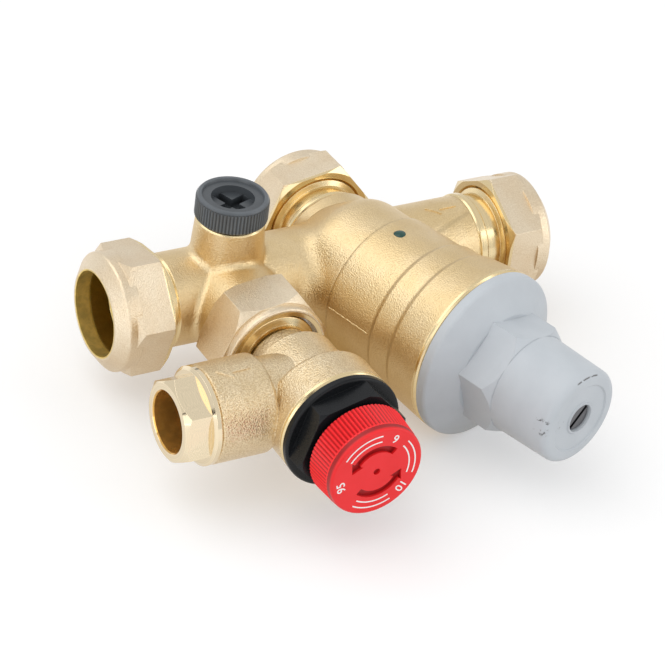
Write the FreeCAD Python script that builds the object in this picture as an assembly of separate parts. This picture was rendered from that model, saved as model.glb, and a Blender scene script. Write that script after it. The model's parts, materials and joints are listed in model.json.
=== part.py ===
"""Inlet control group: pressure reducer, check valve, relief valve and gauge port in one forged brass body.

Millimetres. The origin is where the take-off branch meets the run. X lies along the run, from the outlet
(-X) to the inlet (+X). The take-off branch points to +Y, the reducer cap and the relief knob to the front
(-Y), and the gauge port up (+Z).
"""
import FreeCAD, Part
import math
import os

V = FreeCAD.Vector

# Run and branches
RUN_R = 12.25            # outside of the cast run pipe
RUN_BORE_R = 9.3
THREAD_R = 13.2          # 3/4 pipe thread under the compression nuts, as a plain cylinder
NECK_R = 11.9            # groove turned behind that thread
PIPE_R = 11.0            # 22 mm copper tube
PIPE_CLEARANCE = 0.05
OUTLET_NUT_START = 59.8  # distance of each nut's back face from the origin, along its branch
INLET_NUT_START = 39.6
TAKE_OFF_NUT_START = 19.8
FIT = 0.05               # play between a thread and its nut

# Compression nut
NUT_LENGTH = 15.3
NUT_FLATS = 30.0
NUT_COLLAR_R = 15.5

# Reducer
REDUCER_X = -2.1         # where the reducer's axis crosses the run
REDUCER_YAW = 15.25      # degrees, leaning away from the relief valve
BARREL_R = 20.0
BARREL_BACK = 13.3
BARREL_FRONT = 48.6
CHAMBER_R = 16.5
NOSE_BORE_R = 9.2
CAP_FLANGE_R = 22.9
CAP_HEX_FLATS = 27.0
CAP_END = 83.5
SCREW_R = 3.7
DIAPHRAGM_AT = 37.85

# Relief valve and gauge port
STATION_X = -39.4        # where the relief valve's axis crosses the run
GAUGE_X = -38.8
UNION_FLATS = 28.0
RELIEF_R = 15.5
RELIEF_NECK_R = 12.2
RELIEF_FRONT = 63.3
DISCHARGE_AT = 47.1      # distance of the discharge axis from the run axis
DISCHARGE_R = 12.4
DISCHARGE_PIPE_R = 7.5   # 15 mm copper tube
DISCHARGE_NUT_FLATS = 20.0
KNOB_R = 13.2
KNOB_FRONT_R = 12.55
KNOB_BACK = 72.2
KNOB_FACE = 81.7
KNOB_RIBS = 78
PLUG_R = 9.43
PLUG_RIBS = 64
PLUG_SEAT = 21.8         # top of the gauge boss
PLUG_TOP = 28.4

# Helpers


def frame(origin, axis, up):
    """Placement whose local Z is the axis and whose local X points up."""
    return FreeCAD.Placement(origin, FreeCAD.Rotation(up, axis.cross(up), axis, "ZXY"))


def round_corner(before, corner, after, radius):
    """Start, middle and end of the arc that rounds one corner of an outline."""
    a = (before - corner).normalize()
    b = (after - corner).normalize()
    half = a.getAngle(b) / 2
    reach = radius / math.tan(half)
    centre = corner + (a + b).normalize() * (radius / math.sin(half))
    middle = centre + (corner - centre).normalize() * radius
    return corner + a * reach, middle, corner + b * reach


def outline(points):
    """Closed wire in the lathe plane from (radius, station) points; a third number rounds that corner."""
    flat = [V(p[0], 0, p[1]) for p in points]
    count = len(flat)
    spans = []
    for i, point in enumerate(points):
        if len(point) > 2:
            spans.append(round_corner(flat[i - 1], flat[i], flat[(i + 1) % count], point[2]))
        else:
            spans.append((flat[i], None, flat[i]))
    edges = []
    for i, (start, middle, end) in enumerate(spans):
        if middle is not None:
            edges.append(Part.Arc(start, middle, end).toShape())
        following = spans[(i + 1) % count][0]
        if end.distanceToPoint(following) > 1e-6:
            edges.append(Part.LineSegment(end, following).toShape())
    return Part.Wire(edges)


def turned(points, place):
    """Solid of revolution of an outline about the local Z of a frame."""
    solid = Part.Face(outline(points)).revolve(V(0, 0, 0), V(0, 0, 1), 360)
    solid.Placement = place
    return solid


def disc(radius, start, end, place):
    """Plain cylinder between two stations of a frame."""
    return turned([(0, start), (radius, start), (radius, end), (0, end)], place)


def ring(inner, outer, start, end, place):
    """Plain ring between two stations of a frame."""
    return turned([(inner, start), (outer, start), (outer, end), (inner, end)], place)


def prism(points, start, end, place):
    """Prism between two stations over a closed list of local (x, y) points."""
    loop = [V(x, y, start) for x, y in points]
    solid = Part.Face(Part.makePolygon(loop + loop[:1])).extrude(V(0, 0, end - start))
    solid.Placement = place
    return solid


def hexagon(flats, start, end, turn, place):
    """Hexagonal prism; turn is the angle of one corner from the frame's up, in degrees."""
    corner = flats / math.sqrt(3)
    angles = [math.radians(turn + 60 * k) for k in range(6)]
    return prism([(corner * math.cos(a), corner * math.sin(a)) for a in angles], start, end, place)


def ribbed(radius, depth, ribs, start, end, place, taper=1.0):
    """Solid with fine V ribs all round; taper is the far end's size against the near end's."""
    near = []
    for k in range(2 * ribs):
        r = radius - (depth if k % 2 else 0.0)
        near.append(V(r * math.cos(math.pi * k / ribs), r * math.sin(math.pi * k / ribs), start))
    far = [V(p.x * taper, p.y * taper, end) for p in near]
    loops = [near, far]
    for k in range(2 * ribs):
        loops.append([near[k - 1], near[k], far[k], far[k - 1]])
    solid = Part.Solid(Part.Shell([Part.Face(Part.makePolygon(loop + loop[:1])) for loop in loops]))
    solid.Placement = place
    return solid


def coil(mean_r, wire_r, start, end, turns, place):
    """Compression spring between two stations; eight flats stand for the round wire."""
    height = end - start - 2 * wire_r
    helix = Part.makeHelix(height / turns, height, mean_r)
    corners = [math.radians(45 * k) for k in range(9)]
    section = Part.makePolygon([V(mean_r + wire_r * math.cos(a), 0, wire_r * math.sin(a)) for a in corners])
    solid = Part.Wire(helix.Edges).makePipeShell([section], True, True)
    solid.translate(V(0, 0, start + wire_r))
    solid.Placement = place.multiply(solid.Placement)
    return solid


def fused(first, *others):
    """Union of solids, with leftover seams merged."""
    return first.fuse(list(others)).removeSplitter()


def is_crease(edge):
    """True for a curve cut by two turned shapes; the seams of finished fillets have no curve to ask for."""
    try:
        return isinstance(edge.Curve, Part.BSplineCurve)
    except TypeError:
        return False


def blended(shape, radius, chosen):
    """Round the creases whose middle passes the test."""
    return shape.makeFillet(radius, [e for e in shape.Edges if is_crease(e) and chosen(e.BoundBox.Center)])


UP = V(0, 0, 1)
YAW = math.radians(REDUCER_YAW)
OUTLET = frame(V(0, 0, 0), V(-1, 0, 0), UP)
INLET = frame(V(0, 0, 0), V(1, 0, 0), UP)
TAKE_OFF = frame(V(0, 0, 0), V(0, 1, 0), UP)
REDUCER = frame(V(REDUCER_X, 0, 0), V(math.sin(YAW), -math.cos(YAW), 0), UP)
RELIEF = frame(V(STATION_X, 0, 0), V(0, -1, 0), UP)
DISCHARGE = frame(V(STATION_X, -DISCHARGE_AT, 0), V(-1, 0, 0), UP)
GAUGE = frame(V(GAUGE_X, 0, 0), UP, V(0, -1, 0))

# Compression ends: the body's threaded socket, the nut and the olive between them

SOCKET_R = PIPE_R + PIPE_CLEARANCE
SEAT_SLOPE = 0.625       # rise of the olive's two cones
OLIVE_R = 12.55
OLIVE_EDGE_R = 11.3
SOCKET_STOP = -1.0       # stations from the nut's back face
SOCKET_MOUTH = 7.5
OLIVE_BACK = 6.2
OLIVE_CREST = 8.2
OLIVE_SHOULDER = 9.2
OLIVE_FRONT = 11.2


def spigot(start, place, ring_length, neck_length):
    """Outside of a branch: cast pipe, turned ring and groove, then the thread under the nut."""
    neck = start - 0.6 - neck_length
    profile = [(0, 0), (RUN_R, 0)]
    if ring_length:
        profile += [(RUN_R, neck - ring_length - 0.4), (RUN_R + 0.4, neck - ring_length, 0.3),
                    (RUN_R + 0.4, neck - 0.5, 0.3)]
    else:
        profile += [(RUN_R, neck - 0.5)]
    return turned(profile + [(NECK_R, neck), (NECK_R, start - 0.6), (THREAD_R, start),
                             (THREAD_R, start + SOCKET_MOUTH - 0.6), (THREAD_R - 0.6, start + SOCKET_MOUTH),
                             (0, start + SOCKET_MOUTH)], place)


def socket(bore, back, start, place):
    """Inside of a branch: bore, pipe stop, pipe socket and the cone that the olive seats on."""
    mouth_r = OLIVE_EDGE_R + SEAT_SLOPE * (SOCKET_MOUTH - OLIVE_BACK) + FIT
    cone = SOCKET_MOUTH - (mouth_r - SOCKET_R) / SEAT_SLOPE
    return turned([(0, back), (bore, back), (bore, start + SOCKET_STOP), (SOCKET_R, start + SOCKET_STOP),
                   (SOCKET_R, start + cone), (mouth_r, start + SOCKET_MOUTH),
                   (mouth_r, start + SOCKET_MOUTH + 1), (0, start + SOCKET_MOUTH + 1)], place)


def compression_nut(start, turn, place):
    """22 mm nut: chamfered hexagon, round collar and a coned lip round the pipe hole."""
    corner = NUT_FLATS / math.sqrt(3)
    hex_end = start + 10.6
    collar_end = start + 12.7
    mouth = start + NUT_LENGTH
    hole = PIPE_R + 0.15
    chamfer = turned([(0, start), (corner - 1.9, start), (corner + 0.1, start + 1.3),
                      (corner + 0.1, start + 9.2), (NUT_COLLAR_R, hex_end), (0, hex_end)], place)
    collar = turned([(0, start + 9), (NUT_COLLAR_R, start + 9), (NUT_COLLAR_R, collar_end, 0.9),
                     (hole + 0.9, mouth, 0.35), (0, mouth)], place)
    cone_front = start + OLIVE_SHOULDER + (OLIVE_R + FIT - hole) / SEAT_SLOPE
    thread = THREAD_R + FIT
    cone_back = cone_front - (thread - hole) / SEAT_SLOPE
    inside = turned([(0, start - 1), (thread + 0.6, start - 1), (thread + 0.6, start), (thread, start + 0.8),
                     (thread, cone_back), (hole, cone_front), (hole, mouth + 1), (0, mouth + 1)], place)
    return fused(hexagon(NUT_FLATS, start, hex_end, turn, place).common(chamfer), collar).cut(inside)


def olive(start, place):
    """Ring with two cones that the nut squeezes onto the pipe."""
    inner = SOCKET_R + 0.01
    return turned([(inner, start + OLIVE_BACK), (OLIVE_EDGE_R, start + OLIVE_BACK),
                   (OLIVE_R, start + OLIVE_CREST), (OLIVE_R, start + OLIVE_SHOULDER),
                   (OLIVE_EDGE_R, start + OLIVE_FRONT), (inner, start + OLIVE_FRONT)], place)


# Main body

TAKE_OFF_ROOT_R = 14.0
CHECK_SEAT = 13.5        # shoulder that the check valve rests on, along the outlet branch
CHECK_END = 29.0
RELIEF_BOSS_R = 12.9
RELIEF_THREAD_R = 12.6
RELIEF_BOSS_END = 23.0
RELIEF_PORT_R = 7.0
GAUGE_BOSS_R = 8.95
GAUGE_BOSS_ROOT_R = 10.2
GAUGE_THREAD_R = 6.58    # 1/4 pipe thread


def reducer_barrel():
    """Stepped barrel of the reducer with a domed back that runs into the branches."""
    hub_r = 19.3
    return turned([(0, -11), (11.5, -11, 6), (hub_r, 0, 9), (hub_r, BARREL_BACK - 0.6),
                   (BARREL_R, BARREL_BACK), (BARREL_R + 0.2, 28.8, 1.2), (BARREL_R + 0.85, 30.1, 0.5),
                   (BARREL_R + 1.0, 36.4, 1.2), (BARREL_R + 1.7, 37.7, 0.5), (BARREL_R + 2.75, 46.6),
                   (BARREL_R + 2.85, 47.9), (BARREL_R + 2.2, BARREL_FRONT), (0, BARREL_FRONT)], REDUCER)


def body_outside():
    take_off = turned([(0, 0), (TAKE_OFF_ROOT_R + 0.6, 0), (TAKE_OFF_ROOT_R, 12.2, 1.4), (RUN_R, 13.4),
                       (0, 13.4)], TAKE_OFF)
    gauge = turned([(0, 0), (GAUGE_BOSS_ROOT_R, 0), (GAUGE_BOSS_R, PLUG_SEAT - 0.4),
                    (GAUGE_BOSS_R - 0.4, PLUG_SEAT), (0, PLUG_SEAT)], GAUGE)
    relief = turned([(0, 0), (RELIEF_BOSS_R, 0), (RELIEF_BOSS_R - 0.2, 16.2, 0.8),
                     (RELIEF_THREAD_R - 0.8, 17.0), (RELIEF_THREAD_R - 0.8, 18.0), (RELIEF_THREAD_R, 18.6),
                     (RELIEF_THREAD_R, RELIEF_BOSS_END - 0.5), (RELIEF_THREAD_R - 0.5, RELIEF_BOSS_END),
                     (0, RELIEF_BOSS_END)], RELIEF)
    body = fused(spigot(OUTLET_NUT_START, OUTLET, 0, 1.8), spigot(INLET_NUT_START, INLET, 2.4, 3.8),
                 spigot(TAKE_OFF_NUT_START, TAKE_OFF, 1.6, 3.6), take_off, gauge, relief, reducer_barrel())
    body = blended(body, 2.0, lambda at: at.x < -25)
    body = blended(body, 6.0, lambda at: -25 < at.x < -9)
    return blended(body, 0.9, lambda at: at.x > 12 and at.y < 3)


def body_inside():
    """Waterways: inlet to the chamber round the cartridge, then from its nose to the outlet and take-off."""
    inlet_back = 13.0
    ledge = DIAPHRAGM_AT - 0.05
    chamber = turned([(0, -8), (NOSE_BORE_R, -8), (NOSE_BORE_R, 8), (CHAMBER_R, 8), (CHAMBER_R, 30),
                      (18.2, 30), (18.2, ledge), (19.6, ledge), (19.6, BARREL_FRONT - 0.8),
                      (20.6, BARREL_FRONT + 0.2), (20.6, BARREL_FRONT + 1), (0, BARREL_FRONT + 1)], REDUCER)
    port = Part.makeCylinder(7.0, 18, V(20, 0, 0), V(-14, -14, 0))
    neck = disc(7.6, 0, CHECK_SEAT, OUTLET)
    groove = ring(8, RUN_BORE_R + 0.6, CHECK_END + 0.05, CHECK_END + 1.2, OUTLET)
    gauge = turned([(0, 0), (4.5, 0), (4.5, 11.8), (GAUGE_THREAD_R, 12.6), (GAUGE_THREAD_R, PLUG_SEAT - 1.4),
                    (8.2, PLUG_SEAT - 1.4), (8.2, PLUG_SEAT + 1), (0, PLUG_SEAT + 1)], GAUGE)
    relief = disc(RELIEF_PORT_R, 0, RELIEF_BOSS_END + 1, RELIEF)
    return [socket(RUN_BORE_R, CHECK_SEAT, OUTLET_NUT_START, OUTLET),
            socket(RUN_BORE_R, inlet_back, INLET_NUT_START, INLET),
            socket(RUN_BORE_R, 0, TAKE_OFF_NUT_START, TAKE_OFF), chamber, port, neck, groove, gauge, relief]


def main_body():
    return body_outside().cut(body_inside())


# Gauge port

SHANK_PLAY = 0.06


def gauge_plug():
    """Plug with a ribbed head, a raised rim and a cross slot for a coin or screwdriver."""
    dish = PLUG_TOP - 2.6
    head = ribbed(PLUG_R, 0.28, PLUG_RIBS, PLUG_SEAT + 0.4, PLUG_TOP - 0.7, GAUGE)
    bevel = turned([(0, PLUG_SEAT + 0.4), (PLUG_R - 0.35, PLUG_SEAT + 0.4), (PLUG_R + 0.1, PLUG_SEAT + 0.9),
                    (PLUG_R + 0.1, PLUG_TOP), (0, PLUG_TOP)], GAUGE)
    rim = turned([(0, dish - 0.5), (PLUG_R - 0.4, dish - 0.5), (PLUG_R - 0.2, PLUG_TOP - 0.5),
                  (PLUG_R - 0.6, PLUG_TOP), (PLUG_R - 1.4, PLUG_TOP), (PLUG_R - 1.7, PLUG_TOP - 0.7),
                  (5.6, PLUG_TOP - 0.7), (5.4, dish), (0, dish)], GAUGE)
    shank_r = GAUGE_THREAD_R - SHANK_PLAY
    shank = turned([(0, 12.8), (shank_r - 0.7, 12.8), (shank_r, 13.5), (shank_r, PLUG_SEAT + 1),
                    (0, PLUG_SEAT + 1)], GAUGE)
    plug = fused(head.common(bevel), shank).cut(disc(PLUG_R - 1, dish, PLUG_TOP + 1, GAUGE))
    plug = fused(plug, rim)
    half_width = 1.25
    reach = 5.3
    across = [(-reach, -half_width), (reach, -half_width), (reach, half_width), (-reach, half_width)]
    for turn in (20, 110):
        slot = prism(across, dish - 2.2, PLUG_TOP, FreeCAD.Placement())
        slot.Placement = GAUGE.multiply(FreeCAD.Placement(V(0, 0, 0), FreeCAD.Rotation(UP, turn)))
        plug = plug.cut(slot)
    return plug


def gauge_plug_seal():
    return ring(GAUGE_THREAD_R + 0.05, 8.0, PLUG_SEAT - 1.35, PLUG_SEAT + 0.35, GAUGE)


# Check valve in the outlet branch

CAGE_R = RUN_BORE_R - 0.05
POPPET_LIFT = 5.0


def check_valve_cage():
    """Seat ring, four ribs and a guide spider in one moulding, with a groove for its seal."""
    back = CHECK_SEAT + 0.05
    tube = turned([(6.0, back), (CAGE_R, back), (CAGE_R, back + 0.9), (8.1, back + 0.9), (8.1, back + 2.5),
                   (CAGE_R, back + 2.5), (CAGE_R, CHECK_END), (8.2, CHECK_END), (8.2, back + 4.0),
                   (7.5, back + 3.2), (6.0, back + 2.4)], OUTLET)
    hub = ring(1.6, 3.0, CHECK_END - 3, CHECK_END, OUTLET)
    spokes = []
    for turn in (45, 135):
        bar = prism([(-8.6, -0.8), (8.6, -0.8), (8.6, 0.8), (-8.6, 0.8)], CHECK_END - 2.4, CHECK_END,
                    FreeCAD.Placement())
        bar.Placement = OUTLET.multiply(FreeCAD.Placement(V(0, 0, 0), FreeCAD.Rotation(UP, turn)))
        spokes.append(bar)
    lying = FreeCAD.Placement(V(0, 0, 0), FreeCAD.Rotation(V(1, 0, 0), 90))
    window = disc(2.4, -CAGE_R - 1, CAGE_R + 1, lying)
    middle = (back + 4 + CHECK_END - 3) / 2
    windows = []
    for turn in (0, 90):
        cutter = window.copy()
        place = FreeCAD.Placement(V(0, 0, middle), FreeCAD.Rotation(UP, turn))
        cutter.Placement = OUTLET.multiply(place).multiply(lying)
        windows.append(cutter)
    spider = fused(hub, *spokes).cut(disc(1.6, CHECK_END - 4, CHECK_END + 1, OUTLET))
    return fused(tube, spider).cut(windows)


def check_valve_poppet():
    """Coned disc on a guide stem; it lifts towards the outlet."""
    seat = CHECK_SEAT + 2.7
    return turned([(0, seat - 0.6), (5.6, seat - 0.6), (7.3, seat + 1.0), (7.3, seat + 2.0),
                   (3.4, seat + 2.2), (3.4, seat + 3.4), (1.55, seat + 3.4), (1.55, CHECK_END - 0.4),
                   (0, CHECK_END - 0.4)], OUTLET)


def check_valve_spring():
    return coil(4.3, 0.45, CHECK_SEAT + 4.95, CHECK_END - 2.45, 4, OUTLET)


def check_valve_seal():
    return ring(8.12, RUN_BORE_R - 0.01, CHECK_SEAT + 1.0, CHECK_SEAT + 2.5, OUTLET)


def check_valve_ring():
    """Open spring ring in the groove that keeps the check valve in."""
    whole = ring(7.9, RUN_BORE_R + 0.5, CHECK_END + 0.1, CHECK_END + 1.1, OUTLET)
    return whole.cut(prism([(0, -2), (12, -2), (12, 2), (0, 2)], CHECK_END, CHECK_END + 2, OUTLET))


# Reducer cartridge and cap

SEAT = 6.0               # valve seat, facing the nose
STEM_R = 2.2
PLATE_TOP = 41.6
SPRING_SEAT_AT = 66.0
CAP_BORE_R = 11.6


def cartridge_body():
    """Nose with seat, windowed valve chamber and the flange that carries the diaphragm."""
    body = turned([(7.2, 0), (8.2, 0), (8.9, 0.8), (8.9, 2.6), (7.75, 2.6), (7.75, 5.0), (8.9, 5.0),
                   (8.9, 8.6), (15.7, 8.6), (15.7, 10.0), (12.0, 10.0), (12.0, 27.5), (16.3, 27.5),
                   (16.3, 30.2), (18.1, 30.2), (18.1, 37.8), (15.0, 37.8), (15.0, 29.0), (2.3, 29.0),
                   (2.3, 25.0), (9.6, 25.0), (9.6, SEAT + 3), (4.6, SEAT + 3), (4.6, SEAT),
                   (5.4, SEAT - 0.6), (7.2, SEAT - 0.6)], REDUCER)
    body = body.cut(ring(17.0, 19, 33.0, 35.4, REDUCER))
    window = [(0, -3.0), (14, -3.0), (14, 3.0), (0, 3.0)]
    for turn in range(0, 360, 60):
        slot = prism(window, 11.5, 23.0, FreeCAD.Placement())
        slot.Placement = REDUCER.multiply(FreeCAD.Placement(V(0, 0, 0), FreeCAD.Rotation(UP, turn)))
        body = body.cut(slot)
    return body


def strainer():
    """Perforated sleeve round the cartridge, with rows of slots."""
    sleeve = ring(14.9, 15.5, 10.05, 27.4, REDUCER)
    slots = []
    for row in range(3):
        for k in range(12):
            cutter = prism([(10, -1.2), (18, -1.2), (18, 1.2), (10, 1.2)], 11.6 + 5.2 * row, 15.4 + 5.2 * row,
                           FreeCAD.Placement())
            cutter.Placement = REDUCER.multiply(FreeCAD.Placement(V(0, 0, 0), FreeCAD.Rotation(UP, 30 * k)))
            slots.append(cutter)
    return sleeve.cut(slots)


def valve_stem():
    """Stem from the seat disc to the diaphragm plate."""
    return turned([(0, 1.0), (3.6, 1.0), (3.6, 2.0), (STEM_R, 2.4), (STEM_R, 33.6), (6.5, 33.6), (6.5, 36.6),
                   (STEM_R, 36.6), (STEM_R, PLATE_TOP + 2.4), (0, PLATE_TOP + 2.4)], REDUCER)


def seat_disc():
    """Rubber disc that closes upwards against the seat."""
    return turned([(STEM_R + 0.02, 2.45), (3.7, 2.05), (6.4, 2.05), (6.4, 2.9), (6.0, 3.2),
                   (STEM_R + 0.02, 3.2)], REDUCER)


def diaphragm():
    """Rubber diaphragm with a rolled fold, clamped between the cartridge and the cap."""
    low, high = DIAPHRAGM_AT, DIAPHRAGM_AT + 1.1
    return turned([(STEM_R + 0.02, low - 1.2), (11.0, low - 1.2), (13.0, low - 2.6), (14.6, low - 1.2),
                   (14.8, low), (18.9, low), (18.9, high), (13.9, high), (13.2, low - 1.2),
                   (12.7, low - 1.2), (11.4, low), (STEM_R + 0.02, low)], REDUCER)


def diaphragm_plate():
    """Plate that carries the spring and clamps the diaphragm to the stem."""
    low = DIAPHRAGM_AT + 0.05
    return turned([(STEM_R + 0.02, low), (11.0, low), (11.0, PLATE_TOP, 0.5), (7.4, PLATE_TOP),
                   (7.0, PLATE_TOP + 2.2), (STEM_R + 0.02, PLATE_TOP + 2.2)], REDUCER)


def regulating_spring():
    return coil(9.2, 1.3, PLATE_TOP + 0.05, SPRING_SEAT_AT - 0.05, 6, REDUCER)


def spring_seat():
    """Plate that the screw pushes on."""
    s = SPRING_SEAT_AT
    return turned([(0, s - 2.0), (7.2, s - 2.0), (7.4, s), (CAP_BORE_R - 0.25, s),
                   (CAP_BORE_R - 0.25, s + 2.6), (4.0, s + 3.2), (2.2, s + 2.0), (0, s + 2.0)], REDUCER)


def adjusting_screw():
    """Set screw with a slotted end, turned from outside through the cap."""
    end = CAP_END - 0.75
    half_width = 0.55
    screw = turned([(0, SPRING_SEAT_AT + 2.05), (1.9, SPRING_SEAT_AT + 2.05), (SCREW_R, SPRING_SEAT_AT + 4.4),
                    (SCREW_R, end - 0.4), (SCREW_R - 0.4, end), (0, end)], REDUCER)
    slot = prism([(-5, -half_width), (5, -half_width), (5, half_width), (-5, half_width)], end - 1.1, end + 1,
                 FreeCAD.Placement())
    slot.Placement = REDUCER.multiply(FreeCAD.Placement(V(0, 0, 0), FreeCAD.Rotation(UP, 133)))
    return screw.cut(slot)


def spring_cap():
    """Cap in one moulding: threaded skirt, coned flange, hexagon and round end with a shallow ring recess."""
    skirt = DIAPHRAGM_AT + 1.15
    hex_start, hex_end = 53.0, 65.6
    corner = CAP_HEX_FLATS / math.sqrt(3)
    flange = turned([(0, skirt), (19.5, skirt), (19.5, 47.2), (18.8, 47.8), (18.8, BARREL_FRONT + 0.05),
                     (CAP_FLANGE_R, BARREL_FRONT + 0.05, 0.5), (CAP_FLANGE_R, 51.4, 1.2), (14.5, 55.9),
                     (0, 55.9)], REDUCER)
    chamfer = turned([(0, hex_start), (corner + 1, hex_start), (corner + 0.1, hex_end - 2.6), (13.7, hex_end),
                      (0, hex_end)], REDUCER)
    nose = turned([(0, hex_end - 2), (13.55, hex_end - 2), (13.0, CAP_END, 2.0), (9.5, CAP_END),
                   (9.2, CAP_END - 0.4), (4.6, CAP_END - 0.4), (4.3, CAP_END), (0, CAP_END)], REDUCER)
    inside = turned([(0, skirt - 1), (15.6, skirt - 1), (15.6, 48.5), (CAP_BORE_R, 51), (CAP_BORE_R, 77.4),
                     (SCREW_R + 0.06, 78.6), (SCREW_R + 0.06, CAP_END - 0.6), (SCREW_R + 0.5, CAP_END + 1),
                     (0, CAP_END + 1)], REDUCER)
    hex_body = hexagon(CAP_HEX_FLATS, hex_start, hex_end, 18.5, REDUCER).common(chamfer)
    return fused(flange, hex_body, nose).cut(inside)


def nose_seal():
    return ring(7.8, NOSE_BORE_R - 0.01, 2.7, 4.9, REDUCER)


def chamber_seal():
    return ring(17.02, 18.19, 33.1, 35.3, REDUCER)


# Relief valve

TAIL_FACE = 24.5
TAIL_R = 9.0
TAIL_FLANGE_R = 11.6
CLIP_GROOVE_R = 10.2
CLIP_AT = 27.2
UNION_START = 17.2
UNION_LIP_START = 28.8
UNION_END = 31.6
UNION_HOLE_R = 11.8
RELIEF_SEAT = 46.0
RELIEF_CHAMBER_R = 10.5
BRANCH_NECK_R = 10.8
BRANCH_SHOULDER = 14.6   # where the discharge boss ends, from the relief valve's axis
BONNET_R = 12.5
BONNET_BACK = 58.2
BONNET_FRONT = 70.7
DIAPHRAGM_SEAT = 57.0
RELIEF_STEM_R = 3.0


def union_nut():
    """Hexagon nut with a thin round lip, pulled against a clip on the relief valve's tail."""
    corner = UNION_FLATS / math.sqrt(3)
    chamfer = turned([(0, UNION_START), (corner - 1.6, UNION_START), (corner + 0.1, UNION_START + 1.3),
                      (corner + 0.1, UNION_LIP_START - 1.6), (14.3, UNION_LIP_START + 0.6),
                      (0, UNION_LIP_START + 0.6)], RELIEF)
    lip = turned([(0, UNION_LIP_START - 1), (13.8, UNION_LIP_START - 1), (13.8, UNION_END, 0.7),
                  (UNION_HOLE_R, UNION_END, 0.4), (0, UNION_END - 1)], RELIEF)
    inside = turned([(0, UNION_START - 1), (RELIEF_THREAD_R + 0.6, UNION_START - 1),
                     (RELIEF_THREAD_R + 0.6, UNION_START + 0.4), (RELIEF_THREAD_R + FIT, UNION_START + 1.2),
                     (RELIEF_THREAD_R + FIT, UNION_LIP_START), (UNION_HOLE_R, UNION_LIP_START),
                     (UNION_HOLE_R, UNION_END + 1), (0, UNION_END + 1)], RELIEF)
    hex_body = hexagon(UNION_FLATS, UNION_START, UNION_LIP_START + 0.6, 37.5, RELIEF).common(chamfer)
    return fused(hex_body, lip).cut(inside)


def union_gasket():
    return ring(RELIEF_PORT_R + 0.4, TAIL_FLANGE_R, RELIEF_BOSS_END + 0.05, TAIL_FACE - 0.05, RELIEF)


def union_clip():
    """Open wire ring in the tail's groove; the nut bears on it."""
    whole = ring(CLIP_GROOVE_R + 0.05, 12.5, CLIP_AT + 0.05, UNION_LIP_START - 0.05, RELIEF)
    return whole.cut(prism([(0, -1.5), (14, -1.5), (14, 1.5), (0, 1.5)], CLIP_AT - 1, UNION_END, RELIEF))


def relief_body():
    """Forged body: tail with collar, neck, round chamber and the discharge branch."""
    shell = turned([(0, TAIL_FACE), (TAIL_FLANGE_R, TAIL_FACE, 0.3), (TAIL_FLANGE_R, CLIP_AT),
                    (CLIP_GROOVE_R, CLIP_AT), (CLIP_GROOVE_R, UNION_LIP_START), (11.0, UNION_LIP_START),
                    (11.0, 30.6, 0.4), (TAIL_R, 31.4), (TAIL_R, 36.6), (TAIL_R + 0.5, 38.8),
                    (RELIEF_NECK_R, 38.8, 0.5), (RELIEF_NECK_R, 50.2, 1.0), (RELIEF_R, 52.6, 1.5),
                    (RELIEF_R + 0.1, RELIEF_FRONT - 0.7), (RELIEF_R - 0.5, RELIEF_FRONT),
                    (0, RELIEF_FRONT)], RELIEF)
    branch = turned([(0, 0), (BRANCH_NECK_R, 0), (BRANCH_NECK_R, BRANCH_SHOULDER - 0.6, 0.5),
                     (DISCHARGE_R + 0.1, BRANCH_SHOULDER, 1.2), (DISCHARGE_R, 29.4, 0.4),
                     (DISCHARGE_R - 0.5, 29.8), (0, 29.8)], DISCHARGE)
    inlet = disc(6.0, TAIL_FACE - 1, RELIEF_SEAT + 1, RELIEF)
    chamber = turned([(7.4, RELIEF_SEAT), (7.4, RELIEF_SEAT - 2.6), (RELIEF_CHAMBER_R, RELIEF_SEAT - 2.6),
                      (RELIEF_CHAMBER_R, DIAPHRAGM_SEAT), (BONNET_R + FIT, DIAPHRAGM_SEAT),
                      (BONNET_R + FIT, RELIEF_FRONT - 0.6), (BONNET_R + 0.6, RELIEF_FRONT + 1),
                      (0, RELIEF_FRONT + 1), (0, RELIEF_SEAT)], RELIEF)
    outlet = turned([(0, 8.8), (6.3, 8.8), (6.3, 12), (DISCHARGE_PIPE_R + PIPE_CLEARANCE, 12),
                     (DISCHARGE_PIPE_R + PIPE_CLEARANCE, 18.6), (8.75, 20.7), (9.95, 20.7), (9.95, 31),
                     (0, 31)], DISCHARGE)
    return fused(shell, branch).cut([inlet, chamber, outlet])


def discharge_nut():
    """Polished 15 mm nut: threaded shank, round collar and hexagon."""
    corner = DISCHARGE_NUT_FLATS / math.sqrt(3)
    hole = DISCHARGE_PIPE_R + 0.15
    end = 38.6
    shank = turned([(0, 23.4), (9.3, 23.4), (9.9, 24), (9.9, 29.85), (DISCHARGE_R - 0.2, 29.85),
                    (DISCHARGE_R, 30.1), (DISCHARGE_R, 31.2), (DISCHARGE_R - 0.9, 31.8), (0, 31.8)],
                    DISCHARGE)
    chamfer = turned([(0, 31), (corner + 0.1, 31), (corner + 0.1, end - 1.5), (9.7, end), (0, end)],
                      DISCHARGE)
    inside = turned([(0, 22), (9.0, 22), (9.0, 23.2), (hole, 25.4), (hole, end - 0.4), (hole + 0.4, end),
                     (hole + 0.4, end + 1), (0, end + 1)], DISCHARGE)
    return fused(shank, hexagon(DISCHARGE_NUT_FLATS, 31, end, 5.5, DISCHARGE).common(chamfer)).cut(inside)


def discharge_olive():
    inner = DISCHARGE_PIPE_R + PIPE_CLEARANCE + 0.01
    return turned([(inner, 19.2), (inner + 0.2, 19.2), (8.9, 21.2), (8.9, 23.0), (inner + 0.2, 25.0),
                   (inner, 25.0)], DISCHARGE)


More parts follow.
